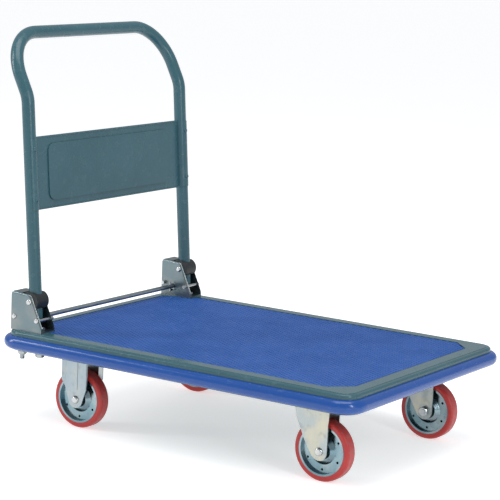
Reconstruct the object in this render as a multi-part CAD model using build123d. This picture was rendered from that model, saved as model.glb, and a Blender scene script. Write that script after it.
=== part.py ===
from build123d import *
from math import atan2, cos, degrees, hypot, radians, sin, tan
import os

os.makedirs("parts", exist_ok=True)

# ---------------------------------------------------------------- driving sizes (mm)
# Frame: origin on the floor, +X towards the front, +Y to the left, +Z up.

# platform
deck_length = 848.0
deck_width = 608.0
deck_corner = 36.0
deck_centre_x = 20.65
deck_top = 203.5
deck_sheet = 2.0
rim_shoulder_drop = 1.0
rim_shoulder_width = 8.0
rim_edge_round = 5.5
skirt_low = 163.0
skirt_return = 5.0

# mat
mat_front_inset = 35.5
mat_rear_inset = 25.5
mat_side_inset = 35.0
mat_front_chamfer = 41.0
mat_rear_chamfer_x = 29.0
mat_rear_chamfer_y = 17.0
mat_bracket_gap = 1.5
mat_thickness = 3.0
mat_below_rim = 1.5
mat_gap = 0.8

# bumper
bumper_projection = 14.0
bumper_low = 164.6
bumper_high = 192.6
bumper_round = 13.2

# underframe
member_low = 162.0
member_sheet = 3.0
member_half_length = 287.0
member_width = 112.0
rear_rail_width = 76.0
rear_rail_half_length = 281.0
stringer_y = 112.0
stringer_width = 44.0
stringer_drop = 25.0

# wheels and casters
wheel_radius = 62.5
tread_width = 28.0
tread_bore = wheel_radius - 13.5
tread_round = 6.0
disc_sheet = 2.0
disc_lip_radius = wheel_radius - 11.5
disc_hole_circle = wheel_radius - 23.5
disc_hole_radius = 2.6
disc_hole_count = 6
hub_radius = 13.0
hub_length = 36.0
axle_radius = 6.0
axle_head_radius = 8.6
running_gap = 0.05
caster_y = 214.0
rear_axle_setback = 141.9
front_axle_setback = 104.6
swivel_trail = 32.0
fork_gap = 40.0
fork_sheet = 3.0
fork_end_radius = 18.0
fork_top = 149.0
caster_plate_x = 104.0
caster_plate_y = 84.0
caster_plate_thick = 3.0
caster_bolt_x = 40.0
caster_bolt_y = 32.0
caster_bolt_radius = 4.0
swivel_head_radius = 36.0
swivel_cup_outer = 34.0
swivel_cup_inner = 20.0
ball_circle = 27.0
ball_radius = 2.8
ball_count = 16
kingpin_radius = 7.0

# folding brackets
bracket_setback = 5.9
bracket_depth = 84.5
bracket_height = 83.0
bracket_width = 45.0
bracket_sheet = 3.0
bracket_top_depth = 54.0
bracket_cover_depth = 28.5
bracket_bend = 5.0
bracket_bolt_radius = 5.0
bracket_bolt_rear = 17.0
bracket_bolt_front = 64.5
bracket_washer = 5.0
bracket_nut_height = 9.0
bracket_stud_tail_rear = 10.0
bracket_stud_tail_front = 1.0

# handle
handle_y = 270.0
tube_radius = 13.6
tube_wall = 2.0
pivot_setback = 56.0
pivot_height = 63.5
handle_lean = 4.6
stile_length = 426.0
tube_tail = 41.5
head_bend = 22.0
head_bend_radius = 70.0
head_length = 142.0
head_corner_radius = 95.0
knuckle_width = 38.0
knuckle_front_radius = 20.0
knuckle_rear = 17.0
knuckle_above = 19.0
knuckle_below = 15.0
pivot_pin_radius = 5.0

# panel
panel_low = 191.0
panel_height = 150.0
panel_sheet = 1.2
panel_wrap_angle = 45.0
panel_hem_radius = 2.0
field_margin_side = 42.0
field_margin_end = 15.0
field_round = 18.0
field_rise = 2.5
rivet_margin = 22.5
rivet_radius = 2.4
rivet_head_radius = 5.2
rivet_seat_depth = 0.9

# release bar and latch levers
bar_radius = 5.0
bar_drop = 3.5
pin_radius = 4.0
pin_head_radius = 5.4
pin_stub = 8.0
contact_gap = 0.4
stop_height = 25.5
lever_pin_setback = 11.0
lever_pin_height = 28.0
lever_hub_radius = 7.0
lever_plate = 2.5
lever_web_rear = 7.0
lever_web_front = 3.0
lever_web_drop = 8.0
release_angle = 15.0
split_pin_radius = 1.5
split_pin_length = 22.0
split_pin_offset = 9.0
spring_radius = 4.2
spring_wire = 1.2
spring_turns = 4

# ---------------------------------------------------------------- derived positions
deck_rear = deck_centre_x - deck_length / 2
deck_front = deck_centre_x + deck_length / 2
floor_top = deck_top - mat_below_rim - mat_thickness
floor_under = floor_top - deck_sheet
rear_axle_x = deck_rear + rear_axle_setback
front_axle_x = deck_front - front_axle_setback
swivel_x = front_axle_x - swivel_trail
pivot_x = deck_rear + pivot_setback
pivot_z = deck_top + pivot_height
bracket_rear = deck_rear + bracket_setback
bracket_top = deck_top + bracket_height
lever_x = bracket_rear + lever_pin_setback
lever_z = deck_top + lever_pin_height
stop_z = deck_top + stop_height
lean = radians(handle_lean)


def tube_axis_x(height):
    """X of the stile centre line at a height above the floor."""
    return pivot_x - (height - pivot_z) * tan(lean)


stop_x = tube_axis_x(stop_z) + (tube_radius + contact_gap) / cos(lean) + pin_radius
bar_z = stop_z - bar_drop
bar_x = tube_axis_x(bar_z) - (tube_radius + contact_gap) / cos(lean) - bar_radius
bar_reach = hypot(bar_x - lever_x, bar_z - lever_z)
bar_start = degrees(atan2(bar_z - lever_z, bar_x - lever_x))
web_x0 = bar_x - lever_web_rear
web_x1 = bar_x + lever_web_front
web_z0 = bar_z - lever_web_drop
bolt_places = [bracket_rear + bracket_bolt_rear, bracket_rear + bracket_bolt_front]
sides = (("left", 1), ("right", -1))


# ---------------------------------------------------------------- helpers
def keep(name, *pieces):
    """Write one node; several pieces stay separate solids in one file."""
    solids = [solid for piece in pieces for solid in piece.solids()]
    shape = solids[0] if len(solids) == 1 else Compound(children=solids)
    shape.label = name
    export_step(shape, f"parts/{name}.step")


def block(x0, x1, y0, y1, z0, z1):
    """Box between two corners."""
    box = Box(x1 - x0, y1 - y0, z1 - z0)
    return Pos((x0 + x1) / 2, (y0 + y1) / 2, (z0 + z1) / 2) * box


def upright(x, y, z0, z1, radius):
    """Vertical round bar."""
    return Pos(x, y, (z0 + z1) / 2) * Cylinder(radius, z1 - z0)


def across(x, z, y0, y1, radius):
    """Round bar along Y."""
    return Pos(x, (y0 + y1) / 2, z) * Rot(90, 0, 0) * Cylinder(radius, abs(y1 - y0))


def hex_upright(x, y, z0, z1, flats):
    """Vertical hexagon with its outer corners turned off at both ends."""
    corner = flats / 2 / cos(radians(30))
    prism = extrude(RegularPolygon(corner, 6, rotation=30), z1 - z0)
    barrel = Pos(0, 0, (z1 - z0) / 2) * Cylinder(corner, z1 - z0)
    barrel = chamfer(barrel.edges(), 0.11 * flats)
    return Pos(x, y, z0) * (prism & barrel)


def domed(radius, height):
    """Round head standing on z = 0 with a rounded crown."""
    head = Pos(0, 0, height / 2) * Cylinder(radius, height)
    return fillet(head.edges().sort_by(Axis.Z)[-1], 0.92 * height)


def side_prism(sketch, y0, y1):
    """Profile drawn as (x, z) and made thick from y0 to y1."""
    return Pos(0, y1, 0) * extrude(Plane.XZ * sketch, y1 - y0)


def deck_slab(grow, z0, z1):
    """Rounded platform outline grown or shrunk, between two heights."""
    outline = RectangleRounded(
        deck_length + 2 * grow, deck_width + 2 * grow, deck_corner + grow
    )
    return Pos(deck_centre_x, 0, z0) * extrude(outline, z1 - z0)


def mat_outline():
    """Mat with cut corners, notched round the brackets at the rear."""
    x0 = deck_rear + mat_rear_inset
    x1 = deck_front - mat_front_inset
    y1 = deck_width / 2 - mat_side_inset
    notch_x = bracket_rear + bracket_depth + mat_bracket_gap
    notch_y = handle_y - bracket_width / 2 - mat_bracket_gap
    half = [
        (x0, notch_y - mat_rear_chamfer_y),
        (x0 + mat_rear_chamfer_x, notch_y),
        (notch_x, notch_y),
        (notch_x, y1),
        (x1 - mat_front_chamfer, y1),
        (x1, y1 - mat_front_chamfer),
    ]
    points = half + [(x, -y) for x, y in reversed(half)]
    return make_face(Polyline(points, close=True))


def mat_block(grow, z0, z1):
    outline = offset(mat_outline(), grow) if grow else mat_outline()
    return Pos(0, 0, z0) * extrude(outline, z1 - z0)


# ---------------------------------------------------------------- platform
def deck_pan():
    shoulder = deck_top - rim_shoulder_drop
    shell = deck_slab(0, skirt_low, shoulder)
    shell = fillet(shell.edges().group_by(Axis.Z)[-1], rim_edge_round)
    band = deck_slab(-rim_shoulder_width, shoulder - 1, deck_top)
    band = fillet(band.edges().group_by(Axis.Z)[-1], 1.6)
    pan = shell + band - mat_block(mat_gap, floor_top, deck_top + 5)
    hollow = deck_slab(-deck_sheet, skirt_low, shoulder - deck_sheet)
    hollow = fillet(hollow.edges().group_by(Axis.Z)[-1], rim_edge_round - deck_sheet)
    inset = rim_shoulder_width + deck_sheet
    hollow += deck_slab(-inset, shoulder - deck_sheet - 1, deck_top - deck_sheet)
    hollow -= mat_block(mat_gap + deck_sheet, floor_under, deck_top + 5)
    pan -= hollow
    lip = deck_slab(-deck_sheet, skirt_low, skirt_low + deck_sheet)
    pan += lip - deck_slab(-skirt_return, skirt_low - 1, skirt_low + deck_sheet + 1)
    for _, side in sides:
        for x in bolt_places:
            pan -= upright(
                x, side * handle_y, floor_under, deck_top + 1, bracket_bolt_radius
            )
    return pan


def bumper():
    ring = deck_slab(bumper_projection, bumper_low, bumper_high)
    ends = ring.edges().group_by(Axis.Z)
    ring = fillet(ends[0] + ends[-1], bumper_round)
    return ring - deck_slab(0, bumper_low - 1, bumper_high + 1)


def cross_channel(x0, x1, half_length):
    """Open-topped channel across the platform, its walls up to the deck sheet."""
    body = block(x0, x1, -half_length, half_length, member_low, floor_under)
    inner = block(
        x0 + member_sheet,
        x1 - member_sheet,
        -half_length - 1,
        half_length + 1,
        member_low + member_sheet,
        floor_under + 1,
    )
    return body - inner


def caster_bolt_places(x_centre, side):
    return [
        (x_centre + sx * caster_bolt_x, side * caster_y + sy * caster_bolt_y)
        for sx in (-1, 1)
        for sy in (-1, 1)
    ]


def with_caster_holes(shape, x_centre, z0, z1, both=(1, -1)):
    for side in both:
        for x, y in caster_bolt_places(x_centre, side):
            shape -= upright(x, y, z0, z1, caster_bolt_radius)
    return shape


keep("deck_pan", deck_pan())
keep("deck_mat", mat_block(0, floor_top, floor_top + mat_thickness))
keep("bumper", bumper())

half_member = member_width / 2
hole_span = (member_low - 1, member_low + member_sheet + 1)
cross_member_rear = cross_channel(
    rear_axle_x - half_member, rear_axle_x + half_member, member_half_length
)
cross_member_front = cross_channel(
    swivel_x - half_member, swivel_x + half_member, member_half_length
)
keep("cross_member_rear", with_caster_holes(cross_member_rear, rear_axle_x, *hole_span))
keep("cross_member_front", with_caster_holes(cross_member_front, swivel_x, *hole_span))

rail_x0 = deck_rear + skirt_return + 2.5
rear_rail = cross_channel(rail_x0, rail_x0 + rear_rail_width, rear_rail_half_length)
for _, side in sides:
    for x in bolt_places:
        rear_rail -= upright(x, side * handle_y, *hole_span, bracket_bolt_radius)
keep("rear_rail", rear_rail)

for name, side in sides:
    y0 = side * stringer_y - stringer_width / 2
    y1 = side * stringer_y + stringer_width / 2
    x0 = rear_axle_x + half_member
    x1 = swivel_x - half_member
    low = floor_under - stringer_drop
    stringer = block(x0, x1, y0, y1, low, floor_under)
    stringer -= block(
        x0 - 1,
        x1 + 1,
        y0 + member_sheet,
        y1 - member_sheet,
        low + member_sheet,
        floor_under + 1,
    )
    keep(f"stringer_{name}", stringer)


# ---------------------------------------------------------------- folding brackets
def bracket_outline(inset):
    """Side outline of a bracket; inset moves the rear, top and base inwards."""
    x0 = bracket_rear + inset
    z0 = deck_top + inset
    z1 = bracket_top - inset
    reach = 40.0 if inset else 0.0
    outline = Polyline(
        (x0, z0),
        (x0, z1),
        (bracket_rear + bracket_top_depth + reach, z1 - (0 if inset else 4)),
        (bracket_rear + bracket_depth + reach, z0 + 14),
        (bracket_rear + bracket_depth + reach, z0),
        close=True,
    )
    face = make_face(outline)
    corner = face.vertices().sort_by(Axis.X)[:2].sort_by(Axis.Y)[-1]
    return fillet(corner, 9.0 - inset)


def bracket(side):
    y_mid = side * handle_y
    half = bracket_width / 2
    body = side_prism(bracket_outline(0), y_mid - half, y_mid + half)
    top_front = bracket_rear + bracket_top_depth
    tip = body.edges().filter_by(Axis.Y)
    tip = tip.filter_by(lambda edge: abs(edge.center().X - top_front) < 1)
    body = fillet(tip, 12.0)
    rear_sides = body.faces().sort_by(Axis.X)[0].edges().filter_by(Axis.Z)
    body = fillet(rear_sides, bracket_bend)
    gap = half - bracket_sheet
    body -= side_prism(bracket_outline(bracket_sheet), y_mid - gap, y_mid + gap)
    body -= block(
        bracket_rear + bracket_cover_depth,
        bracket_rear + bracket_depth + 1,
        y_mid - gap,
        y_mid + gap,
        bracket_top - 3 * bracket_sheet,
        bracket_top + 1,
    )
    body -= across(pivot_x, pivot_z, y_mid - half - 1, y_mid + half + 1, pivot_pin_radius)
    for x, z in ((stop_x, stop_z), (lever_x, lever_z)):
        body -= across(x, z, y_mid - half - 1, y_mid + half + 1, pin_radius)
    for x in bolt_places:
        body -= upright(
            x, y_mid, deck_top - 1, deck_top + bracket_sheet + 1, bracket_bolt_radius
        )
    travel = CenterArc((0, 0), bar_reach, bar_start + 1, -release_angle - 2)
    slot = Pos(lever_x, lever_z) * SlotArc(travel, 2 * (bar_radius + 0.6))
    inner_face = side * (handle_y - half)
    y0, y1 = sorted((inner_face - side, inner_face + side * (bracket_sheet + 1)))
    body -= side_prism(slot, y0, y1)
    return body


pivot_pins = []
stop_pins = []
lever_pins = []
bolts = []
nuts = []
washers = []
spacers = []
springs = []
for name, side in sides:
    y_mid = side * handle_y
    half = bracket_width / 2
    keep(f"bracket_{name}", bracket(side))
    face_out = y_mid + side * half
    face_in = y_mid - side * half
    outward = Rot(-90 * side, 0, 0)
    inward = Rot(90 * side, 0, 0)
    pin = across(pivot_x, pivot_z, face_in, face_out, pivot_pin_radius)
    pin += Pos(pivot_x, face_out, pivot_z) * outward * domed(6.5, 3.6)
    pin += Pos(pivot_x, face_in, pivot_z) * inward * domed(6.5, 3.6)
    pivot_pins.append(pin)
    for x, z, group in ((stop_x, stop_z, stop_pins), (lever_x, lever_z, lever_pins)):
        pin = across(x, z, face_in - side * pin_stub, face_out, pin_radius)
        pin += Pos(x, face_out, z) * outward * domed(pin_head_radius, 2.8)
        group.append(pin)
    for x, tail in zip(bolt_places, (bracket_stud_tail_rear, bracket_stud_tail_front)):
        head_z = deck_top + bracket_sheet
        nut_top = member_low - bracket_washer
        nut_low = nut_top - bracket_nut_height
        bolt = upright(x, y_mid, nut_low - tail, head_z, bracket_bolt_radius)
        bolts.append(bolt + hex_upright(x, y_mid, head_z, head_z + 6.4, 17.0))
        nut = hex_upright(x, y_mid, nut_low, nut_top, 17.0)
        nuts.append(nut - upright(x, y_mid, nut_low - 1, nut_top + 1, bracket_bolt_radius))
        washer = upright(x, y_mid, nut_top, member_low, 10.5)
        washers.append(
            washer - upright(x, y_mid, nut_top - 1, member_low + 1, bracket_bolt_radius)
        )
        low = member_low + member_sheet
        high = deck_top - deck_sheet
        spacer = upright(x, y_mid, low, high, 7.5)
        spacers.append(spacer - upright(x, y_mid, low - 1, high + 1, bracket_bolt_radius))
    base_top = deck_top + bracket_sheet
    free_height = web_z0 - base_top - spring_wire
    coil = Helix(free_height / spring_turns, free_height, spring_radius)
    wire = Plane(coil @ 0, z_dir=coil % 0) * Circle(spring_wire / 2)
    spring = sweep(wire, path=coil, is_frenet=True)
    spring_x = (web_x0 + web_x1) / 2
    springs.append(Pos(spring_x, y_mid, base_top + spring_wire / 2) * spring)
keep("pivot_pins", *pivot_pins)
keep("stop_pins", *stop_pins)
keep("lever_pins", *lever_pins)
keep("bracket_bolts", *bolts)
keep("bracket_nuts", *nuts)
keep("bracket_washers", *washers)
keep("bracket_spacers", *spacers)
keep("latch_springs", *springs)


# ---------------------------------------------------------------- release bar
# The bar stops in the inner arm of each lever, clear of the swinging tube tail.
bar_end = handle_y - knuckle_width / 2 + lever_plate
release_bar = across(bar_x, bar_z, -bar_end, bar_end, bar_radius)
split_y = handle_y - bracket_width / 2 - split_pin_offset
split_pins = []
for name, side in sides:
    y_mid = side * handle_y
    low = bar_z - split_pin_length / 2
    high = bar_z + split_pin_length / 2
    split_pin = upright(bar_x, side * split_y, low, high, split_pin_radius)
    release_bar -= split_pin
    split_pins.append(split_pin)
    half = knuckle_width / 2
    hub = across(lever_x, lever_z, y_mid - half, y_mid + half, lever_hub_radius)
    ends = [
        Pos(lever_x, lever_z) * Circle(lever_hub_radius + 0.3),
        Pos(bar_x, bar_z) * Circle(bar_radius + 3.0),
    ]
    web_z1 = web_z0 + lever_plate
    web_centre = Pos((web_x0 + web_x1) / 2, (web_z0 + web_z1) / 2)
    ends.append(web_centre * Rectangle(web_x1 - web_x0, lever_plate))
    link = make_hull([edge for end in ends for edge in end.edges()])
    lever = hub + block(web_x0, web_x1, y_mid - half, y_mid + half, web_z0, web_z1)
    for y0 in (y_mid - half, y_mid + half - lever_plate):
        lever += side_prism(link, y0, y0 + lever_plate)
    bore = pin_radius + running_gap
    lever -= across(lever_x, lever_z, y_mid - half - 1, y_mid + half + 1, bore)
    lever -= across(bar_x, bar_z, -bar_end, bar_end, bar_radius)
    keep(f"latch_lever_{name}", lever)
keep("release_bar", release_bar)
keep("split_pins", *split_pins)


# ---------------------------------------------------------------- handle
# Built about its pivot axis with the stiles upright, then leaned back.
lean_back = Pos(pivot_x, 0, pivot_z) * Rot(0, -handle_lean, 0)


def bent_path(points, radii):
    """Line through the points, each inner corner rounded to its radius."""
    corners = [Vector(*p) for p in points]
    start = corners[0]
    edges = []
    for before, corner, after, radius in zip(corners, corners[1:], corners[2:], radii):
        into = (corner - before).normalized()
        away = (after - corner).normalized()
        turn = radians(into.get_angle(away))
        back = radius * tan(turn / 2)
        enter = corner - into * back
        leave = corner + away * back
        to_centre = (away - into).normalized()
        middle = corner + to_centre * (radius / cos(turn / 2) - radius)
        edges += [Line(start, enter), ThreePointArc(enter, middle, leave)]
        start = leave
    edges.append(Line(start, corners[-1]))
    return Wire(edges)


head_lean = radians(head_bend)
top_x = -head_length * sin(head_lean)
top_z = stile_length + head_length * cos(head_lean)
path = bent_path(
    [
        (0, -handle_y, -tube_tail),
        (0, -handle_y, stile_length),
        (top_x, -handle_y, top_z),
        (top_x, handle_y, top_z),
        (0, handle_y, stile_length),
        (0, handle_y, -tube_tail),
    ],
    [head_bend_radius, head_corner_radius, head_corner_radius, head_bend_radius],
)
section = Plane(path @ 0, z_dir=path % 0)
handle_tube = sweep(section * Circle(tube_radius), path=path)
handle_tube -= sweep(section * Circle(tube_radius - tube_wall), path=path)


def knuckle(y_mid):
    front = Circle(knuckle_front_radius)
    front -= Pos(-50, 0) * Rectangle(100, 200)
    front -= Pos(0, knuckle_above + 50) * Rectangle(200, 100)
    front -= Pos(0, -knuckle_below - 50) * Rectangle(200, 100)
    rear_height = knuckle_above + knuckle_below
    rear = Pos(-knuckle_rear / 2, (knuckle_above - knuckle_below) / 2)
    rear *= Rectangle(knuckle_rear, rear_height)
    half = knuckle_width / 2
    body = side_prism(front + rear, y_mid - half, y_mid + half)
    body = fillet(
        body.edges().filter_by(Axis.Y).sort_by(Axis.X)[:2], 4.0
    )
    body -= upright(0, y_mid, -100, 100, tube_radius)
    bore = pivot_pin_radius + running_gap
    return body - across(0, 0, y_mid - half - 1, y_mid + half + 1, bore)


for name, side in sides:
    y_mid = side * handle_y
    keep(f"knuckle_{name}", lean_back * knuckle(y_mid))
    handle_tube -= across(0, 0, y_mid - 30, y_mid + 30, pivot_pin_radius + 0.5)

rivet_heights = [panel_low + rivet_margin, panel_low + panel_height - rivet_margin]


def front_bar(y, z, x0, x1, radius):
    """Round bar along X in the handle's own frame."""
    return Pos((x0 + x1) / 2, y, z) * Rot(0, 90, 0) * Cylinder(radius, x1 - x0)


rivets = []
for _, side in sides:
    y_mid = side * handle_y
    for z in rivet_heights:
        seat = tube_radius + panel_sheet - rivet_seat_depth
        rivet = front_bar(y_mid, z, tube_radius - tube_wall - 2, seat, rivet_radius)
        rivet += Pos(seat, y_mid, z) * Rot(0, 90, 0) * domed(rivet_head_radius, 3.0)
        handle_tube -= rivet
        rivets.append(rivet)


def panel():
    half = panel_sheet / 2
    edge_y = handle_y - tube_radius - half
    high = panel_low + panel_height
    sheet = block(-half, half, -edge_y, edge_y, panel_low, high)
    field_y = edge_y - field_margin_side
    field = RectangleRounded(
        2 * field_y, panel_height - 2 * field_margin_end, field_round
    )
    inner = offset(field, -panel_sheet)
    centre = (0, 0, panel_low + panel_height / 2)
    front = Plane(origin=centre, x_dir=(0, 1, 0), z_dir=(1, 0, 0))
    sheet -= extrude(front * field, 5, both=True)
    wall = extrude(front * (field - inner), field_rise + panel_sheet)
    sheet += Pos(-half, 0, 0) * wall
    sheet += Pos(field_rise - half, 0, 0) * extrude(front * field, panel_sheet)
    for z in (panel_low, high):
        sheet += across(0, z, -edge_y + 6, edge_y - 6, panel_hem_radius)
    for _, side in sides:
        y_mid = side * handle_y
        outer = tube_radius + panel_sheet
        wrap = upright(0, y_mid, panel_low, high, outer)
        wrap -= upright(0, y_mid, panel_low - 1, high + 1, tube_radius)
        wrap -= block(-50, -half, y_mid - 50, y_mid + 50, panel_low - 1, high + 1)
        y0, y1 = sorted((0, side * 50))
        trim = block(-50, 50, y0, y1, panel_low - 1, high + 1)
        wrap -= Pos(0, y_mid, 0) * Rot(0, 0, side * panel_wrap_angle) * trim
        sheet += wrap
    for rivet in rivets:
        sheet -= rivet
    return sheet


keep("handle_tube", lean_back * handle_tube)
keep("handle_panel", lean_back * panel())
keep("panel_rivets", *[lean_back * rivet for rivet in rivets])


# ---------------------------------------------------------------- wheels
def turned(profile, x, y):
    """Revolve an (r, s) outline about the wheel axis; s runs along +Y from mid-plane."""
    face = make_face(Polyline(profile, close=True))
    solid = revolve(face, Axis.Y, 360)
    return Pos(x, y, wheel_radius) * solid


def wheel_parts(x, y):
    half = tread_width / 2
    seat = half - 1.5
    lip = half + 0.5
    tread = turned(
        [
            (tread_bore, -seat),
            (disc_lip_radius, -seat),
            (disc_lip_radius, -half),
            (wheel_radius, -half),
            (wheel_radius, half),
            (disc_lip_radius, half),
            (disc_lip_radius, seat),
            (tread_bore, seat),
        ],
        x,
        y,
    )
    shoulders = tread.edges().filter_by(GeomType.CIRCLE)
    shoulders = shoulders.filter_by(lambda e: e.radius > wheel_radius - 0.01)
    tread = fillet(shoulders, tread_round)
    inner = tread_bore - disc_sheet
    face_s = half - 2.0
    web_s = face_s - 7.5
    discs = []
    for end in (1, -1):
        outline = [
            (hub_radius, face_s),
            (19.5, face_s),
            (28.0, web_s),
            (inner, web_s),
            (inner, 0.1),
            (tread_bore, 0.1),
            (tread_bore, seat),
            (disc_lip_radius, seat),
            (disc_lip_radius, lip),
            (inner, lip),
            (inner, web_s + disc_sheet),
            (28.8, web_s + disc_sheet),
            (20.3, face_s + disc_sheet),
            (hub_radius, face_s + disc_sheet),
        ]
        disc = turned([(r, end * s) for r, s in outline], x, y)
        for index in range(disc_hole_count):
            turn = radians(360 / disc_hole_count * (index + 0.5))
            hole_x = x + disc_hole_circle * cos(turn)
            hole_z = wheel_radius + disc_hole_circle * sin(turn)
            y0, y1 = sorted((y + end * 2, y + end * 14))
            disc -= across(hole_x, hole_z, y0, y1, disc_hole_radius)
        discs.append(disc)
    y0 = y - hub_length / 2
    y1 = y + hub_length / 2
    hub = across(x, wheel_radius, y0, y1, hub_radius)
    hub = chamfer(hub.edges().filter_by(GeomType.CIRCLE), 1.0)
    hub -= across(x, wheel_radius, y0 - 1, y1 + 1, axle_radius + running_gap)
    return tread, discs, hub


def axle_parts(x, y, side):
    """Headed axle with its head outboard, and the round-ended nut inboard."""
    outer = y + side * (fork_gap / 2 + fork_sheet)
    inner = y - side * (fork_gap / 2 + fork_sheet)
    outward = Rot(-90 * side, 0, 0)
    inward = Rot(90 * side, 0, 0)
    axle = across(x, wheel_radius, inner - side * 9.0, outer, axle_radius)
    axle += Pos(x, outer, wheel_radius) * outward * domed(axle_head_radius, 4.2)
    nut = hex_upright(0, 0, 0, 8.0, 19.0) - Cylinder(axle_radius, 40)
    return axle, Pos(x, inner, wheel_radius) * inward * nut


wheel_places = [
    (f"{end}_{name}", x, side * caster_y, side)
    for end, x in (("rear", rear_axle_x), ("front", front_axle_x))
    for name, side in sides
]
rear_axles = []
rear_axle_nuts = []
for label, x, y, side in wheel_places:
    tread, discs, hub = wheel_parts(x, y)
    keep(f"tread_{label}", tread)
    keep(f"wheel_discs_{label}", *discs)
    keep(f"wheel_hub_{label}", hub)
    axle, nut = axle_parts(x, y, side)
    if label.startswith("rear"):
        rear_axles.append(axle)
        rear_axle_nuts.append(nut)
    else:
        keep(f"axle_{label}", axle)
        keep(f"axle_nut_{label}", nut)
keep("axles_rear", *rear_axles)
keep("axle_nuts_rear", *rear_axle_nuts)


# ---------------------------------------------------------------- casters
def caster_plate(x, y):
    outline = RectangleRounded(caster_plate_x, caster_plate_y, 8)
    low = member_low - caster_plate_thick
    return Pos(x, y, low) * extrude(outline, caster_plate_thick)


def leg_section(points, thickness):
    """Thin strip following plan points, thickened away from the wheel."""
    outer = [(x, y + thickness) for x, y in points]
    return make_face(Polyline(points + list(reversed(outer)), close=True))


def fork_legs(section, profile, x, y, z_top):
    """Both legs: the plan section stood up and trimmed to its side profile."""
    legs = None
    for end in (1, -1):
        strip = extrude(section, z_top)
        if end < 0:
            strip = mirror(strip, about=Plane.XZ)
        y0, y1 = sorted((end * 10, end * 60))
        leg = strip & side_prism(profile, y0, y1)
        legs = leg if legs is None else legs + leg
    legs -= across(0, wheel_radius, -60, 60, axle_radius)
    return Pos(x, y, 0) * legs


def hull_profile(points):
    """Side outline: a round end about the axle and straight runs to the points."""
    end = Pos(0, wheel_radius) * Circle(fork_end_radius)
    frame = Polyline(points, close=True)
    return make_hull(list(end.edges()) + list(frame.edges()))


inner_y = fork_gap / 2
wing = 6.0
plate_low = member_low - caster_plate_thick
rigid_section = leg_section(
    [(-33, inner_y + wing), (-27, inner_y), (27, inner_y), (33, inner_y + wing)],
    fork_sheet,
)
rigid_profile = hull_profile(
    [(-33, plate_low), (33, plate_low), (33, 104), (-33, 104)]
)
swivel_section = leg_section(
    [
        (fork_end_radius, inner_y),
        (-10, inner_y),
        (-30, inner_y + 7),
        (-54, inner_y + 7),
    ],
    fork_sheet,
)
swivel_under = fork_top - fork_sheet
swivel_profile = hull_profile(
    [
        (fork_end_radius, swivel_under),
        (-54, swivel_under),
        (-51, 128),
    ]
)
balls = {}
kingpins = []
kingpin_nuts = []
caster_bolts = []
caster_nuts = []
caster_washers = []
for name, side in sides:
    y = side * caster_y
    legs = fork_legs(rigid_section, rigid_profile, rear_axle_x, y, plate_low)
    rigid = caster_plate(rear_axle_x, y) + legs
    for end in (1, -1):
        rib_y = y + end * (fork_gap / 2 + fork_sheet)
        rib = block(-5, 5, -1.5, 1.5, 84, 150)
        rib = fillet(rib.edges().filter_by(Axis.Z), 1.4)
        rigid += Pos(rear_axle_x, rib_y, 0) * rib
    span = (plate_low - 1, member_low + 1)
    keep(f"rigid_fork_{name}", with_caster_holes(rigid, rear_axle_x, *span, both=(side,)))

    plate = caster_plate(swivel_x, y)
    cup_low = fork_top + ball_radius + 1.5
    cup = upright(swivel_x, y, cup_low, plate_low, swivel_cup_outer)
    cup = fillet(cup.edges().filter_by(GeomType.CIRCLE).sort_by(Axis.Z)[0], 2.0)
    cup -= upright(swivel_x, y, cup_low - 1, plate_low, swivel_cup_inner)
    plate = with_caster_holes(plate + cup, swivel_x, *span, both=(side,))
    keep(f"swivel_plate_{name}", plate)

    head = upright(swivel_x, y, swivel_under, fork_top, swivel_head_radius)
    arm_y = fork_gap / 2 + fork_sheet
    head += block(
        swivel_x, front_axle_x + fork_end_radius, y - arm_y, y + arm_y, swivel_under, fork_top
    )
    legs = fork_legs(swivel_section, swivel_profile, front_axle_x, y, swivel_under)
    fork = head + legs
    ball_z = cup_low - 0.3 - ball_radius
    race = Pos(swivel_x, y, ball_z) * Torus(ball_circle, ball_radius)
    fork -= race
    fork -= upright(
        swivel_x, y, swivel_under - 1, fork_top + 1, kingpin_radius + running_gap
    )
    keep(f"swivel_fork_{name}", fork)

    ring = []
    for index in range(ball_count):
        turn = radians(360 / ball_count * index)
        ball_x = swivel_x + ball_circle * cos(turn)
        ball_y = y + ball_circle * sin(turn)
        ring.append(Pos(ball_x, ball_y, ball_z) * Sphere(ball_radius))
    keep(f"swivel_balls_{name}", *ring)

    nut_top = swivel_under - 0.3
    pin = upright(swivel_x, y, nut_top - 9, plate_low, kingpin_radius)
    pin += upright(swivel_x, y, fork_top + 0.3, plate_low, 12.0)
    kingpins.append(pin)
    nut = hex_upright(swivel_x, y, nut_top - 7.5, nut_top, 22.0)
    kingpin_nuts.append(nut - upright(swivel_x, y, nut_top - 9, nut_top + 1, kingpin_radius))

    web_top = member_low + member_sheet
    for x_centre in (rear_axle_x, swivel_x):
        for bx, by in caster_bolt_places(x_centre, side):
            shank = upright(bx, by, plate_low, web_top + 10, caster_bolt_radius)
            caster_bolts.append(shank + hex_upright(bx, by, plate_low - 5.3, plate_low, 13.0))
            nut = hex_upright(bx, by, web_top + 1.6, web_top + 8.1, 13.0)
            hole = upright(bx, by, web_top - 1, web_top + 12, caster_bolt_radius)
            caster_nuts.append(nut - hole)
            caster_washers.append(upright(bx, by, web_top, web_top + 1.6, 8.0) - hole)
keep("kingpins", *kingpins)
keep("kingpin_nuts", *kingpin_nuts)
keep("caster_bolts", *caster_bolts)
keep("caster_nuts", *caster_nuts)
keep("caster_washers", *caster_washers)
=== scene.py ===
# %% [markdown]
# # A folding platform cart
# The cart is a pressed-steel deck with a ribbed mat and a vinyl bumper, on four
# casters, with a bent-tube handle that folds down onto the deck. The packed
# model already holds every solid in its right place, in metres. This lesson
# gives each of them a finish, and grows the small repeated detail that solids
# leave out: the mat's ribs, the screw threads and the weld beads.

from math import cos, radians, sin

import bpy
from mathutils import Matrix, Vector


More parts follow.
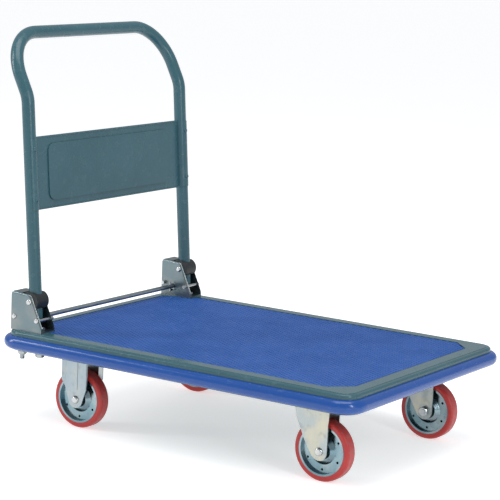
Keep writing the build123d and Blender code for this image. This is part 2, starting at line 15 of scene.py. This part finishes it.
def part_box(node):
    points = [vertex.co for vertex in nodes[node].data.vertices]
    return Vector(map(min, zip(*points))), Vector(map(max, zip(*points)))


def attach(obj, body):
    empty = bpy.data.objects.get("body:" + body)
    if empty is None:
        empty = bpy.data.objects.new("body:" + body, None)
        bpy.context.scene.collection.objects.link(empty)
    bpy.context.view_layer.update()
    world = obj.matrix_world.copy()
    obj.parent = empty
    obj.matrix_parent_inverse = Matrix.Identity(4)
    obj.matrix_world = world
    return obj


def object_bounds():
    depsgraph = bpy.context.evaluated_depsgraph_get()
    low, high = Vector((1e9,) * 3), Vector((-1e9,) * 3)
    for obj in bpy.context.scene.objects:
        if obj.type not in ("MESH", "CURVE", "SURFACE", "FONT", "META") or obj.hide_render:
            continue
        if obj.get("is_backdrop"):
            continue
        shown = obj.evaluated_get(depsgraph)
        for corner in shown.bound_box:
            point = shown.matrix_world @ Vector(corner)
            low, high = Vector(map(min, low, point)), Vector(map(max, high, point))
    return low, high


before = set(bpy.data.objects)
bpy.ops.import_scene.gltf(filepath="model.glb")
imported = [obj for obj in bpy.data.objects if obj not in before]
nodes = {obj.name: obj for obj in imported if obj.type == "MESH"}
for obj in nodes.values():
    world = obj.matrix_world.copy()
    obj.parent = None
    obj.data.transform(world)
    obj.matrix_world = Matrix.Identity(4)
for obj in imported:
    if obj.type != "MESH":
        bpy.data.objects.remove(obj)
scene = bpy.context.scene
cad_low, cad_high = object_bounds()
print("overall size in m", [round(c, 4) for c in cad_high - cad_low])

# %% [markdown]
# ## Sums written as sums
# A finish is mostly arithmetic on patterns. Blender does each step of it in a
# Math node, which is slow to read when there are dozens. One small class wraps
# a socket, so that `0.3 + 0.2 * cloud` adds the nodes by itself. It works in
# material trees and in geometry trees alike, because both know the Math node.


# %% A socket that takes part in sums
def connect(place, value):
    """Link a value into a socket, or set the socket to a plain number."""
    if isinstance(value, Value):
        value = value.socket
    if isinstance(value, bpy.types.NodeSocket):
        place.id_data.links.new(value, place)
    else:
        place.default_value = value


class Value:
    """A node socket with Python arithmetic on it."""

    def __init__(self, socket):
        self.socket = socket

    def math(self, operation, *terms):
        node = self.socket.id_data.nodes.new("ShaderNodeMath")
        node.operation = operation
        for place, term in zip(node.inputs, terms):
            connect(place, term)
        return Value(node.outputs[0])

    def __add__(self, other):
        return self.math("ADD", self, other)

    def __sub__(self, other):
        return self.math("SUBTRACT", self, other)

    def __rsub__(self, other):
        return self.math("SUBTRACT", other, self)

    def __mul__(self, other):
        return self.math("MULTIPLY", self, other)

    def __truediv__(self, other):
        return self.math("DIVIDE", self, other)

    __radd__ = __add__
    __rmul__ = __mul__

    def below(self, other):
        return self.math("LESS_THAN", self, other)

    def least(self, other):
        return self.math("MINIMUM", self, other)

    def most(self, other):
        return self.math("MAXIMUM", self, other)

    def call(self, operation):
        return self.math(operation, self)


print("sums ready:", [name for name in vars(Value) if name.startswith("__r")])

# %% [markdown]
# ## One way to add a node
# Every other node comes from one method, which sets the node's own settings
# first, because they decide which sockets it has, and then its sockets.


# %% A tree with one way to add a node
class Bench:
    """A node tree, and the one method that adds a node to it."""

    def __init__(self, tree):
        self.tree = tree

    def node(self, kind, settings=None, sockets=None):
        made = self.tree.nodes.new(kind)
        for name, setting in (settings or {}).items():
            setattr(made, name, setting)
        for name, value in (sockets or {}).items():
            connect(made.inputs[name], value)
        return made


class Finish(Bench):
    """A material with its surface shader and the patterns finishes are made of."""

    def __init__(self, name, **constants):
        self.material = bpy.data.materials.new(name)
        self.material.use_nodes = True
        super().__init__(self.material.node_tree)
        self.shader = self.tree.nodes["Principled BSDF"]
        for socket, value in constants.items():
            self.shader.inputs[socket.replace("_", " ")].default_value = value
        self.where = self.node("ShaderNodeTexCoord").outputs["Object"]

    def stretched(self, scale, centre=(0, 0, 0)):
        """Object coordinates about a centre, with each axis scaled."""
        moved = self.node(
            "ShaderNodeVectorMath",
            {"operation": "SUBTRACT"},
            {0: self.where, 1: centre},
        )
        return self.node(
            "ShaderNodeMapping", {}, {"Vector": moved.outputs[0], "Scale": scale}
        ).outputs[0]

    def reach(self, centre):
        """The distance from an axle line that runs along Y through a centre."""
        around = self.stretched((1, 0, 1), centre)
        settings = {"operation": "LENGTH"}
        length = self.node("ShaderNodeVectorMath", settings, {0: around})
        return Value(length.outputs[1])

    def noise(self, scale, detail=3.0, where=None):
        sockets = {"Vector": where or self.where, "Scale": scale, "Detail": detail}
        return Value(self.node("ShaderNodeTexNoise", {}, sockets).outputs[0])

    def band(self, value, low, high):
        """0 under low, 1 over high, and a smooth step between."""
        settings = {"interpolation_type": "SMOOTHSTEP"}
        sockets = {"Value": value, "From Min": low, "From Max": high}
        return Value(self.node("ShaderNodeMapRange", settings, sockets).outputs[0])

    def mix(self, first, second, share):
        settings = {"data_type": "RGBA"}
        sockets = {0: share, 6: (*first, 1) if isinstance(first, tuple) else first}
        sockets[7] = (*second, 1) if isinstance(second, tuple) else second
        return self.node("ShaderNodeMix", settings, sockets).outputs[2]

    def relief(self, height, depth):
        """A bump of that depth in metres, fed to the shader's normal."""
        sockets = {"Height": height, "Distance": depth, "Strength": 1.0}
        bump = self.node("ShaderNodeBump", {}, sockets)
        connect(self.shader.inputs["Normal"], bump.outputs[0])

    def colour(self, value):
        connect(self.shader.inputs["Base Color"], value)

    def rough(self, value):
        connect(self.shader.inputs["Roughness"], value)


print("bench ready")

# %% [markdown]
# ## Satin enamel
# The deck, the handle tube and the panel are steel with a sprayed and baked
# enamel, grey with some teal in it. Sprayed paint is never flat: it dries to a
# faint orange peel about a millimetre across, it clouds a little where the coat
# was thicker, and handling leaves dust and rubbed spots that shine less. Each
# of those is one noise at its own size.


# %% Enamel
peel_depth = 0.00007


def enamel(name, deep, pale, shine):
    finish = Finish(name, Specular_IOR_Level=0.35)
    cloud = finish.noise(7.0, 4.0)
    dust = finish.band(finish.noise(60.0, 6.0), 0.52, 0.72)
    specks = finish.band(finish.noise(420.0, 2.0), 0.66, 0.72)
    peel = finish.noise(900.0, 2.0)
    painted = finish.mix(deep, pale, finish.band(cloud, 0.3, 0.7))
    dusty = finish.mix(painted, (0.16, 0.20, 0.21), dust * 0.07 + specks * 0.08)
    finish.colour(dusty)
    finish.rough(shine + 0.08 * cloud + 0.12 * dust + 0.05 * peel)
    finish.relief(peel + 0.4 * specks, peel_depth)
    return finish.material


teal = enamel("teal_enamel", (0.028, 0.084, 0.104), (0.034, 0.096, 0.118), 0.16)
under = enamel("underframe_enamel", (0.020, 0.042, 0.052), (0.028, 0.056, 0.068), 0.36)
print("enamels", teal.name, under.name)

# %% [markdown]
# ## Zinc plate
# The brackets, forks, wheel discs and fasteners are bright zinc-plated steel.
# Zinc keeps the rolling marks of the sheet underneath as fine streaks, has a
# bluish passivation that turns faintly yellow in places, and takes dull
# fingerprints. The streaks are a noise squeezed along one axis.


# %% Zinc, with its streaks running along a chosen axis
streak_depth = 0.00004


def zinc(name, cool, warm, streak_scale, dullness, centre=(0, 0, 0)):
    finish = Finish(name, Metallic=1.0)
    where = finish.stretched(streak_scale, centre)
    streaks = finish.noise(1.0, 3.0, where)
    cloud = finish.noise(22.0, 4.0)
    prints = finish.band(finish.noise(55.0, 5.0), 0.54, 0.70)
    crystals = finish.noise(380.0, 2.0)
    tinted = finish.mix(cool, warm, finish.band(cloud, 0.42, 0.68))
    dulled = finish.mix(tinted, (0.20, 0.23, 0.25), prints * 0.25 + 0.16 * streaks)
    finish.colour(dulled)
    finish.rough(dullness + 0.16 * streaks + 0.10 * prints + 0.06 * crystals)
    finish.relief(streaks + 0.5 * crystals, streak_depth)
    return finish.material


cool_zinc = (0.31, 0.37, 0.40)
warm_zinc = (0.39, 0.41, 0.40)
zinc_upright = zinc("zinc_upright", cool_zinc, warm_zinc, (900, 900, 30), 0.20)
zinc_shaded = zinc(
    "zinc_bracket", (0.155, 0.205, 0.220), (0.215, 0.240, 0.240), (900, 900, 30), 0.24
)
zinc_across = zinc("zinc_across", cool_zinc, warm_zinc, (900, 30, 900), 0.20)
zinc_yellow = zinc(
    "zinc_yellow", (0.38, 0.42, 0.42), (0.50, 0.48, 0.38), (900, 900, 40), 0.24
)
pin_steel = zinc(
    "pin_steel", (0.46, 0.49, 0.51), (0.52, 0.52, 0.50), (1200, 60, 1200), 0.14
)
spring_steel = zinc(
    "spring_steel", (0.30, 0.31, 0.32), (0.36, 0.35, 0.33), (500, 500, 500), 0.28
)
print("zinc finishes", zinc_upright.name, zinc_yellow.name, pin_steel.name)

# %% [markdown]
# ## Turned wheel discs
# A wheel disc is pressed from sheet and keeps fine rings round its axle from
# the tool. The rings follow the distance from the axle, so each wheel needs its
# own centre, which is read from the middle of the disc's own box.


# %% Discs, one finish for each axle line
def middle(node):
    low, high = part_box(node)
    return (low + high) / 2


ring_rate = 2400.0  # radians a metre, one ring every 2.6 mm
hub_shade_reach = (0.026, 0.030)  # where the painted shade in the middle of a disc ends


def turned_zinc(name, centre):
    finish = Finish(name, Metallic=1.0)
    reach = finish.reach(centre)
    rings = (reach * ring_rate).call("SINE") * 0.5 + 0.5
    wander = finish.noise(60.0, 3.0)
    cloud = finish.noise(26.0, 4.0)
    grime = finish.band(finish.noise(90.0, 5.0), 0.55, 0.75)
    # step is 1 in the middle of the disc, which is painted darker as shade in the dished
    # hub.
    step = 1 - finish.band(reach, *hub_shade_reach)
    patches = finish.band(cloud, 0.35, 0.7)
    tinted = finish.mix((0.17, 0.27, 0.31), (0.30, 0.37, 0.39), patches)
    # Grime is random dirt; the darker middle is painted shade.
    finish.colour(finish.mix(tinted, (0.10, 0.15, 0.18), grime * 0.3 + step * 0.3))
    finish.rough(0.16 + 0.08 * rings * wander + 0.12 * grime + 0.05 * cloud)
    finish.relief(rings * wander, streak_depth)
    return finish.material


wheels = [f"{end}_{side}" for end in ("rear", "front") for side in ("left", "right")]
disc_finish = {
    wheel: turned_zinc(f"disc_zinc_{wheel}", tuple(middle(f"wheel_discs_{wheel}")))
    for wheel in wheels
}
print("disc finishes", sorted(disc_finish))

# %% [markdown]
# ## Red wheel treads
# The treads are red urethane cast onto the rims. Cast urethane is a little
# cloudy, carries a fine line where the mould halves met, and its running face
# picks up grey scuffs. The running face is wherever the distance from the axle
# is largest, so scuffs use the same distance as the discs' rings.


# %% Treads
face_round, face_edge = 0.003, 0.0004  # how far in the running face begins
scuff_depth = 0.00006


def tread_finish(name, centre, radius):
    finish = Finish(name, Specular_IOR_Level=0.35)
    reach = finish.reach(centre)
    cloud = finish.noise(30.0, 4.0)
    grain = finish.noise(700.0, 3.0)
    running = finish.band(reach, radius - face_round, radius - face_edge)
    scuffs = finish.band(finish.noise(150.0, 5.0), 0.44, 0.66) * running
    dust = finish.band(finish.noise(45.0, 5.0), 0.56, 0.74)
    red = finish.mix((0.330, 0.026, 0.026), (0.440, 0.038, 0.034), cloud)
    finish.colour(finish.mix(red, (0.20, 0.13, 0.13), scuffs * 0.4 + dust * 0.08))
    finish.rough(0.30 + 0.25 * scuffs + 0.10 * dust + 0.06 * grain)
    finish.relief(grain + 2 * scuffs, scuff_depth)
    return finish.material


treads = {}
for wheel in wheels:
    low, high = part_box(f"tread_{wheel}")
    axle = tuple((low + high) / 2)
    treads[wheel] = tread_finish(f"red_urethane_{wheel}", axle, (high.z - low.z) / 2)
print("tread radius in m", round((high.z - low.z) / 2, 4))

# %% [markdown]
# ## Black nylon
# The knuckles that join the tube to its brackets are moulded glass-filled
# nylon: nearly black, slightly blue, with a fine pebble from the mould.


# %% Nylon
pebble_depth = 0.00010


def nylon():
    finish = Finish("black_nylon", Specular_IOR_Level=0.4)
    pebble = finish.noise(650.0, 2.0)
    flow = finish.noise(35.0, 4.0)
    rubbed = finish.band(finish.noise(80.0, 4.0), 0.55, 0.75)
    black = finish.mix((0.008, 0.011, 0.012), (0.014, 0.018, 0.020), flow)
    finish.colour(finish.mix(black, (0.04, 0.045, 0.048), rubbed * 0.4))
    finish.rough(0.42 + 0.12 * flow - 0.10 * rubbed + 0.08 * pebble)
    finish.relief(pebble, pebble_depth)
    return finish.material


black_nylon = nylon()
print("nylon", black_nylon.name)

# %% [markdown]
# ## Mat rubber and bumper vinyl
# The mat is blue rubber with a matt grain and dust. The ground between its ribs
# is painted darker as shade, and the ribs, shaped for real further on, lighter
# as sheen. The bumper is blue vinyl extruded in one strip: glossy, with long
# shallow waves along it and a few scuffs.


# %% Rubber
grain_depth = 0.00008


def rubber(name, deep, pale, dullness):
    finish = Finish(name, Specular_IOR_Level=0.15)
    grain = finish.noise(1100.0, 3.0)
    cloud = finish.noise(11.0, 5.0)
    dust = finish.band(finish.noise(70.0, 6.0), 0.50, 0.75)
    blue = finish.mix(deep, pale, finish.band(cloud, 0.3, 0.7))
    finish.colour(finish.mix(blue, (0.22, 0.27, 0.36), dust * 0.12))
    finish.rough(dullness + 0.10 * dust + 0.08 * grain)
    finish.relief(grain, grain_depth)
    return finish.material


# The ground is a darker copy of the mat rubber, painted shade between the ribs; the ribs
# are a lighter copy, painted sheen.
mat_ground = rubber("mat_ground", (0.004, 0.024, 0.110), (0.008, 0.034, 0.140), 0.60)
mat_ridge = rubber("mat_ridge", (0.016, 0.074, 0.280), (0.024, 0.088, 0.315), 0.48)
print("mat finishes", mat_ground.name, mat_ridge.name)


# %% Vinyl
wave_depth = 0.0003


def vinyl():
    finish = Finish("bumper_vinyl", Specular_IOR_Level=0.4)
    waves = finish.noise(1.0, 3.0, finish.stretched((14, 14, 60)))
    grain = finish.noise(800.0, 2.0)
    scratches = finish.noise(1.0, 5.0, finish.stretched((60, 60, 500)))
    scuffs = finish.band(scratches, 0.58, 0.72)
    blue = finish.mix((0.006, 0.050, 0.225), (0.010, 0.066, 0.275), waves)
    finish.colour(finish.mix(blue, (0.08, 0.15, 0.33), scuffs * 0.18))
    finish.rough(0.15 + 0.05 * waves + 0.16 * scuffs + 0.04 * grain)
    finish.relief(waves + 0.03 * grain, wave_depth)
    return finish.material


blue_vinyl = vinyl()
print("vinyl", blue_vinyl.name)

# %% [markdown]
# ## Dress every solid
# A packed solid keeps its mesh and gets its finish in its material slots. The
# names say what each one is, so a short list of name beginnings is enough.

# %% Finish by name
by_name = {
    "deck_pan": teal,
    "handle_tube": teal,
    "handle_panel": teal,
    "panel_rivets": teal,
    "cross_member": under,
    "rear_rail": under,
    "stringer": under,
    "bracket_spacers": under,
    "deck_mat": mat_ground,
    "bumper": blue_vinyl,
    "knuckle": black_nylon,
    "bracket_": zinc_upright,
    "bracket_left": zinc_shaded,
    "bracket_right": zinc_shaded,
    "rigid_fork": zinc_upright,
    "latch_lever": zinc_upright,
    "release_bar": zinc_across,
    "swivel_fork": zinc_yellow,
    "swivel_plate": zinc_yellow,
    "swivel_balls": pin_steel,
    "kingpin": zinc_upright,
    "caster_": zinc_upright,
    "wheel_hub": zinc_across,
    "axle": pin_steel,
    "pivot_pins": pin_steel,
    "stop_pins": pin_steel,
    "lever_pins": pin_steel,
    "split_pins": pin_steel,
    "latch_springs": spring_steel,
}
for wheel in wheels:
    by_name[f"wheel_discs_{wheel}"] = disc_finish[wheel]
    by_name[f"tread_{wheel}"] = treads[wheel]


def finish_for(node):
    longest = max((start for start in by_name if node.startswith(start)), key=len)
    return by_name[longest]


for name, piece in nodes.items():
    piece.data.materials.clear()
    piece.data.materials.append(finish_for(name))
print("dressed", len(nodes), "solids")

# %% [markdown]
# ## Pieces grown from a rule
# A geometry tree is a recipe with named sizes. Run over a small base mesh, it
# makes the detail, which is then kept as a plain mesh so that nothing is left
# to be worked out later. Sizes go in by the socket's identifier, since names
# may repeat. The last two nodes make instances real and set the finish.


# %% Recipes
class Recipe(Bench):
    """A geometry tree with named sizes."""

    def __init__(self, name, sizes):
        super().__init__(bpy.data.node_groups.new(name, "GeometryNodeTree"))
        self.door("Geometry", "Geometry")
        for size in sizes:
            self.door(size, "Float")
        self.door("Material", "Material")
        self.door("Geometry", "Geometry", "OUTPUT")
        self.given = self.node("NodeGroupInput")

    def door(self, name, kind, way="INPUT"):
        self.tree.interface.new_socket(
            name=name, in_out=way, socket_type=f"NodeSocket{kind}"
        )

    def size(self, name):
        return Value(self.given.outputs[name])

    def geometry(self, kind, settings=None, sockets=None):
        return self.node(kind, settings, sockets).outputs[0]

    def vector(self, x, y, z):
        sockets = {"X": x, "Y": y, "Z": z}
        return self.node("ShaderNodeCombineXYZ", {}, sockets).outputs[0]

    def end(self, instances):
        kind = "GeometryNodeRealizeInstances"
        real = self.geometry(kind, {}, {"Geometry": instances})
        sockets = {"Geometry": real, "Material": self.given.outputs["Material"]}
        dressed = self.geometry("GeometryNodeSetMaterial", {}, sockets)
        self.node("NodeGroupOutput", {}, {0: dressed})
        return self.tree


def base_mesh(name, points, edges=()):
    mesh = bpy.data.meshes.new(name)
    mesh.from_pydata(points, edges, [])
    return mesh


def grow(name, tree, base, sizes, material, body):
    """Run a recipe over a base mesh and keep what it makes, riding on a body."""
    maker = bpy.data.objects.new(name + "_maker", base)
    scene.collection.objects.link(maker)
    step = maker.modifiers.new("recipe", "NODES")
    step.node_group = tree
    for item in tree.interface.items_tree:
        if item.in_out == "INPUT" and item.name in sizes:
            step[item.identifier] = sizes[item.name]
        elif item.in_out == "INPUT" and item.name == "Material":
            step[item.identifier] = material
    ready = maker.evaluated_get(bpy.context.evaluated_depsgraph_get())
    mesh = bpy.data.meshes.new_from_object(ready)
    bpy.data.objects.remove(maker)
    mesh.name = name
    piece = bpy.data.objects.new(name, mesh)
    scene.collection.objects.link(piece)
    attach(piece, body)
    print(name, "has", len(mesh.polygons), "faces")


print("recipes ready")

# %% [markdown]
# ## The mat's ribs
# The mat is rolled with fine slanting ribs and a weaker set that crosses them,
# which gives it its diamond sheen. Each rib is a straight bar clipped by the
# mat's eight edges. Each edge is a normal and a limit, and cuts the rib's
# endless line at one point. The least of the cuts ahead and the most of the
# cuts behind are the rib's two ends. That is exact and needs no cutting of
# meshes.

# %% A recipe for ribs clipped to an eight-cornered sheet
rib_sizes = (
    "Pitch",
    "Width",
    "Height",
    "Angle",
    "Half length",
    "Half width",
    "Front chamfer",
    "Rear chamfer length",
    "Rear chamfer width",
    "Middle X",
    "Level",
    "Margin",
)
far = 10.0  # metres, past every edge
shortest_rib = 0.004


def rib_recipe():
    recipe = Recipe("slanting_ribs", rib_sizes)
    length, width = recipe.size("Half length"), recipe.size("Half width")
    front = recipe.size("Front chamfer")
    rear_x = recipe.size("Rear chamfer length")
    rear_y = recipe.size("Rear chamfer width")
    along_x = recipe.size("Angle").call("COSINE")
    along_y = recipe.size("Angle").call("SINE")
    reach = length + width
    pitch = recipe.size("Pitch")
    line = recipe.geometry(
        "GeometryNodeMeshLine",
        {},
        {
            "Count": 2 * reach / pitch,
            "Start Location": recipe.vector(0 - reach, 0.0, 0.0),
            "Offset": recipe.vector(pitch, 0.0, 0.0),
        },
    )
    place = recipe.node("GeometryNodeInputPosition").outputs[0]
    split = recipe.node("ShaderNodeSeparateXYZ", {}, {0: place})
    offset = Value(split.outputs[0])
    rear_limit = rear_y * length + rear_x * (width - rear_y)
    edges = []
    for side in (1, -1):
        edges.append((side, 0, length))
        edges.append((0, side, width))
        edges.append((1, side, length + width - front))
        edges.append((0 - rear_y, rear_x * side, rear_limit))
    upper, lower = offset * 0 + far, offset * 0 - far
    for normal_x, normal_y, limit in edges:
        slope = normal_x * along_x + normal_y * along_y
        across = normal_y * along_x - normal_x * along_y
        stop = (limit - offset * across) / slope
        falling = slope.below(0.0)
        upper = upper.least(stop * (1 - falling) + far * falling)
        lower = lower.most(stop * falling - far * (1 - falling))
    run = upper - lower - 2 * recipe.size("Margin")
    centre = (upper + lower) * 0.5
    stored = recipe.geometry(
        "GeometryNodeStoreNamedAttribute",
        {"data_type": "FLOAT", "domain": "POINT"},
        {"Geometry": line, "Name": "run", "Value": run},
    )
    moved = recipe.geometry(
        "GeometryNodeSetPosition",
        {},
        {
            "Geometry": stored,
            "Position": recipe.vector(
                recipe.size("Middle X") + centre * along_x - offset * along_y,
                centre * along_y + offset * along_x,
                recipe.size("Level"),
            ),
        },
    )
    stored_run = recipe.node(
        "GeometryNodeInputNamedAttribute", {"data_type": "FLOAT"}, {"Name": "run"}
    )
    run_length = Value(stored_run.outputs[0])
    kept = recipe.geometry(
        "GeometryNodeDeleteGeometry",
        {"domain": "POINT"},
        {"Geometry": moved, "Selection": run_length.below(shortest_rib)},
    )
    spine = recipe.geometry(
        "GeometryNodeCurvePrimitiveLine",
        {},
        {"Start": (-0.5, 0, 0), "End": (0.5, 0, 0)},
    )
    section = recipe.geometry(
        "GeometryNodeCurvePrimitiveCircle", {}, {"Resolution": 10, "Radius": 1.0}
    )
    bar = recipe.geometry(
        "GeometryNodeCurveToMesh",
        {},
        {"Curve": spine, "Profile Curve": section, "Fill Caps": True},
    )
    placed = recipe.geometry(
        "GeometryNodeInstanceOnPoints",
        {},
        {
            "Points": kept,
            "Instance": bar,
            "Rotation": recipe.vector(0.0, 0.0, recipe.size("Angle")),
            "Scale": recipe.vector(
                run_length, recipe.size("Width") * 0.5, recipe.size("Height")
            ),
        },
    )
    return recipe.end(placed)


rib_tree = rib_recipe()
print("rib recipe has", len(rib_tree.nodes), "nodes")

# %% Grow both sets of ribs
mat_low, mat_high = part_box("deck_mat")
mat_sizes = {
    "Half length": (mat_high.x - mat_low.x) / 2,
    "Half width": (mat_high.y - mat_low.y) / 2,
    "Front chamfer": 0.041,
    "Rear chamfer length": 0.068,
    "Rear chamfer width": 0.040,
    "Middle X": (mat_high.x + mat_low.x) / 2,
    "Level": mat_high.z,
    "Margin": 0.002,
    "Pitch": 0.0090,
}
rib_angle = radians(-31.5)
rib_sets = {
    "mat_ribs": {"Width": 0.0072, "Height": 0.0009, "Angle": rib_angle},
    "mat_cross_ribs": {"Width": 0.0050, "Height": 0.0004, "Angle": -rib_angle},
}
rib_base = base_mesh("rib_base", [(0, 0, 0)])
# The ribs wear the lighter copy of the mat rubber, painted sheen.
for name, rib_set in rib_sets.items():
    sizes = {**mat_sizes, **rib_set}
    grow(name, rib_tree, rib_base, sizes, mat_ridge, "chassis")

# %% [markdown]
# ## Threads on the bracket studs
# The two rear bracket bolts stick out well under their nuts, and the end of
# each shows its thread. A thread is a small ridge wound round the stud, so one
# helix is swept with a three-cornered section and set on a point at each end.


# %% A recipe for threads
def thread_recipe():
    recipe = Recipe("stud_threads", ("Radius", "Pitch", "Length", "Ridge"))
    turns = recipe.size("Length") / recipe.size("Pitch")
    helix = recipe.geometry(
        "GeometryNodeCurveSpiral",
        {},
        {
            "Resolution": 20,
            "Rotations": turns,
            "Start Radius": recipe.size("Radius"),
            "End Radius": recipe.size("Radius"),
            "Height": recipe.size("Length"),
        },
    )
    section = recipe.geometry(
        "GeometryNodeCurvePrimitiveCircle",
        {},
        {"Resolution": 3, "Radius": recipe.size("Ridge")},
    )
    ridge = recipe.geometry(
        "GeometryNodeCurveToMesh",
        {},
        {"Curve": helix, "Profile Curve": section, "Fill Caps": True},
    )
    placed = recipe.geometry(
        "GeometryNodeInstanceOnPoints",
        {},
        {"Points": recipe.given.outputs["Geometry"], "Instance": ridge},
    )
    return recipe.end(placed)


thread_tree = thread_recipe()
print("thread recipe has", len(thread_tree.nodes), "nodes")

# %% Grow the threads
bolt_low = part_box("bracket_bolts")[0]
nut_low, nut_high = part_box("bracket_nuts")
nut_half_x, nut_half_y = 0.0085, 0.0098
lead_in, run_out = 0.0006, 0.0002
rear_x = nut_low.x + nut_half_x
stud_y = (nut_low.y + nut_half_y, nut_high.y - nut_half_y)
studs = [(rear_x, y, bolt_low.z + lead_in) for y in stud_y]
thread_sizes = {
    "Radius": 0.0049,
    "Pitch": 0.0015,
    "Length": nut_low.z - bolt_low.z - lead_in - run_out,
    "Ridge": 0.00055,
}
stud_ends = base_mesh("stud_ends", studs)
grow(
    "stud_threads",
    thread_tree,
    stud_ends,
    thread_sizes,
    zinc_across,
    "chassis",
)

# %% [markdown]
# ## Weld beads
# The channels and stringers under the deck are welded where they meet. A bead
# laid by hand is a row of overlapping puddles, like a stack of coins pushed
# over. The recipe walks along each edge of the base mesh in short steps and
# sets one ball at each step, a little larger or smaller at random.


# %% A recipe for beads
def bead_recipe():
    recipe = Recipe("weld_beads", ("Step", "Size"))
    path = recipe.geometry(
        "GeometryNodeMeshToCurve", {}, {"Mesh": recipe.given.outputs["Geometry"]}
    )
    steps = recipe.geometry(
        "GeometryNodeResampleCurve",
        {"mode": "LENGTH"},
        {"Curve": path, "Length": recipe.size("Step")},
    )
    puddle = recipe.geometry(
        "GeometryNodeMeshIcoSphere",
        {},
        {"Radius": recipe.size("Size"), "Subdivisions": 2},
    )
    swell = recipe.node(
        "FunctionNodeRandomValue",
        {"data_type": "FLOAT"},
        {2: 0.85, 3: 1.1, "Seed": 4},
    ).outputs[1]
    placed = recipe.geometry(
        "GeometryNodeInstanceOnPoints",
        {},
        {"Points": steps, "Instance": puddle, "Scale": swell},
    )
    return recipe.end(placed)


bead_tree = bead_recipe()
print("bead recipe has", len(bead_tree.nodes), "nodes")

# %% Grow the beads
weld_gap = 0.004
weld_points, weld_edges = [], []
for side in ("left", "right"):
    low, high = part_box(f"stringer_{side}")
    top = high.z - weld_gap
    for x in (low.x, high.x):
        first = len(weld_points)
        weld_points += [(x, low.y, top), (x, low.y, low.z)]
        weld_points += [(x, high.y, low.z), (x, high.y, top)]
        weld_edges += [(first + i, first + i + 1) for i in range(3)]
weld_lines = base_mesh("weld_lines", weld_points, weld_edges)
bead_sizes = {"Step": 0.0022, "Size": 0.0021}
grow(
    "weld_beads",
    bead_tree,
    weld_lines,
    bead_sizes,
    under,
    "chassis",
)

# %% [markdown]
# ## Floor, light and camera
# A pale floor and a bright, even sky keep the colours honest. One wide soft
# lamp overhead gives the mat its sheen, and two narrower ones draw the long
# highlights along the tube and the bumper. The camera stands low and far off,
# with a long lens, so that the deck's edges stay nearly parallel.


# %% Floor
floor_glow = 0.52


def floor():
    half = 30.0
    mesh = bpy.data.meshes.new("floor")
    corners = [(-half, -half, 0), (half, -half, 0), (half, half, 0), (-half, half, 0)]
    mesh.from_pydata(corners, [], [(0, 1, 2, 3)])
    piece = bpy.data.objects.new("floor", mesh)
    scene.collection.objects.link(piece)
    finish = Finish("pale_floor", Roughness=0.8, Specular_IOR_Level=0.1)
    finish.shader.inputs["Emission Color"].default_value = (1, 1, 1, 1)
    finish.shader.inputs["Emission Strength"].default_value = floor_glow
    grain = finish.noise(3.0, 3.0)
    finish.colour(finish.mix((0.82, 0.82, 0.82), (0.84, 0.84, 0.84), grain))
    mesh.materials.append(finish.material)
    piece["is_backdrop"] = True
    return piece


print("floor", floor().name)


# %% Lamps
def soft_lamp(name, place, aim, width, height, power):
    lamp = bpy.data.lights.new(name, "AREA")
    lamp.shape = "RECTANGLE"
    lamp.size, lamp.size_y, lamp.energy = width, height, power
    holder = bpy.data.objects.new(name, lamp)
    scene.collection.objects.link(holder)
    holder.location = place
    towards = Vector(aim) - Vector(place)
    holder.rotation_euler = towards.to_track_quat("-Z", "Y").to_euler()


soft_lamp("overhead", (0.3, -0.4, 3.2), (0, 0, 0.3), 2.6, 2.0, 62)
soft_lamp("left_side", (-2.6, -1.8, 1.7), (0, 0, 0.4), 0.5, 2.2, 42)
soft_lamp("front_side", (2.8, -1.2, 1.5), (0, 0, 0.3), 0.5, 1.8, 34)

world = bpy.data.worlds.new("studio")
world.use_nodes = True
sky = world.node_tree.nodes["Background"]
sky.inputs["Color"].default_value = (0.95, 0.97, 1.0, 1.0)
sky.inputs["Strength"].default_value = 0.56
scene.world = world
scene.view_settings.view_transform = "Standard"

# %% Camera
eye = Vector((2.3045, -3.5379, 1.1231))
heading, tilt, roll = radians(123.002), radians(-9.876), radians(2.478)
ahead = Vector((cos(tilt) * cos(heading), cos(tilt) * sin(heading), sin(tilt)))
right = ahead.cross(Vector((0, 0, 1))).normalized()
up = right.cross(ahead)
camera_right = cos(roll) * right + sin(roll) * up
camera_up = cos(roll) * up - sin(roll) * right
view = bpy.data.cameras.new("camera")
view.lens, view.sensor_width = 146.65, 36.0
view.clip_start, view.clip_end = 0.1, 200.0
camera = bpy.data.objects.new("camera", view)
scene.collection.objects.link(camera)
axes = Matrix((camera_right, camera_up, -ahead)).transposed()
camera.matrix_world = Matrix.Translation(eye) @ axes.to_4x4()
scene.camera = camera
print("camera at", [round(c, 3) for c in eye])

# %% [markdown]
# ## The size of the pieces
# The finished pieces must stay inside the box of the solids. Both boxes are
# printed on the last line.

# %% Print both boxes
made_low, made_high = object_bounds()
sizes = {
    "cad": [list(cad_low), list(cad_high)],
    "visual": [list(made_low), list(made_high)],
}
print("boxes", sizes)
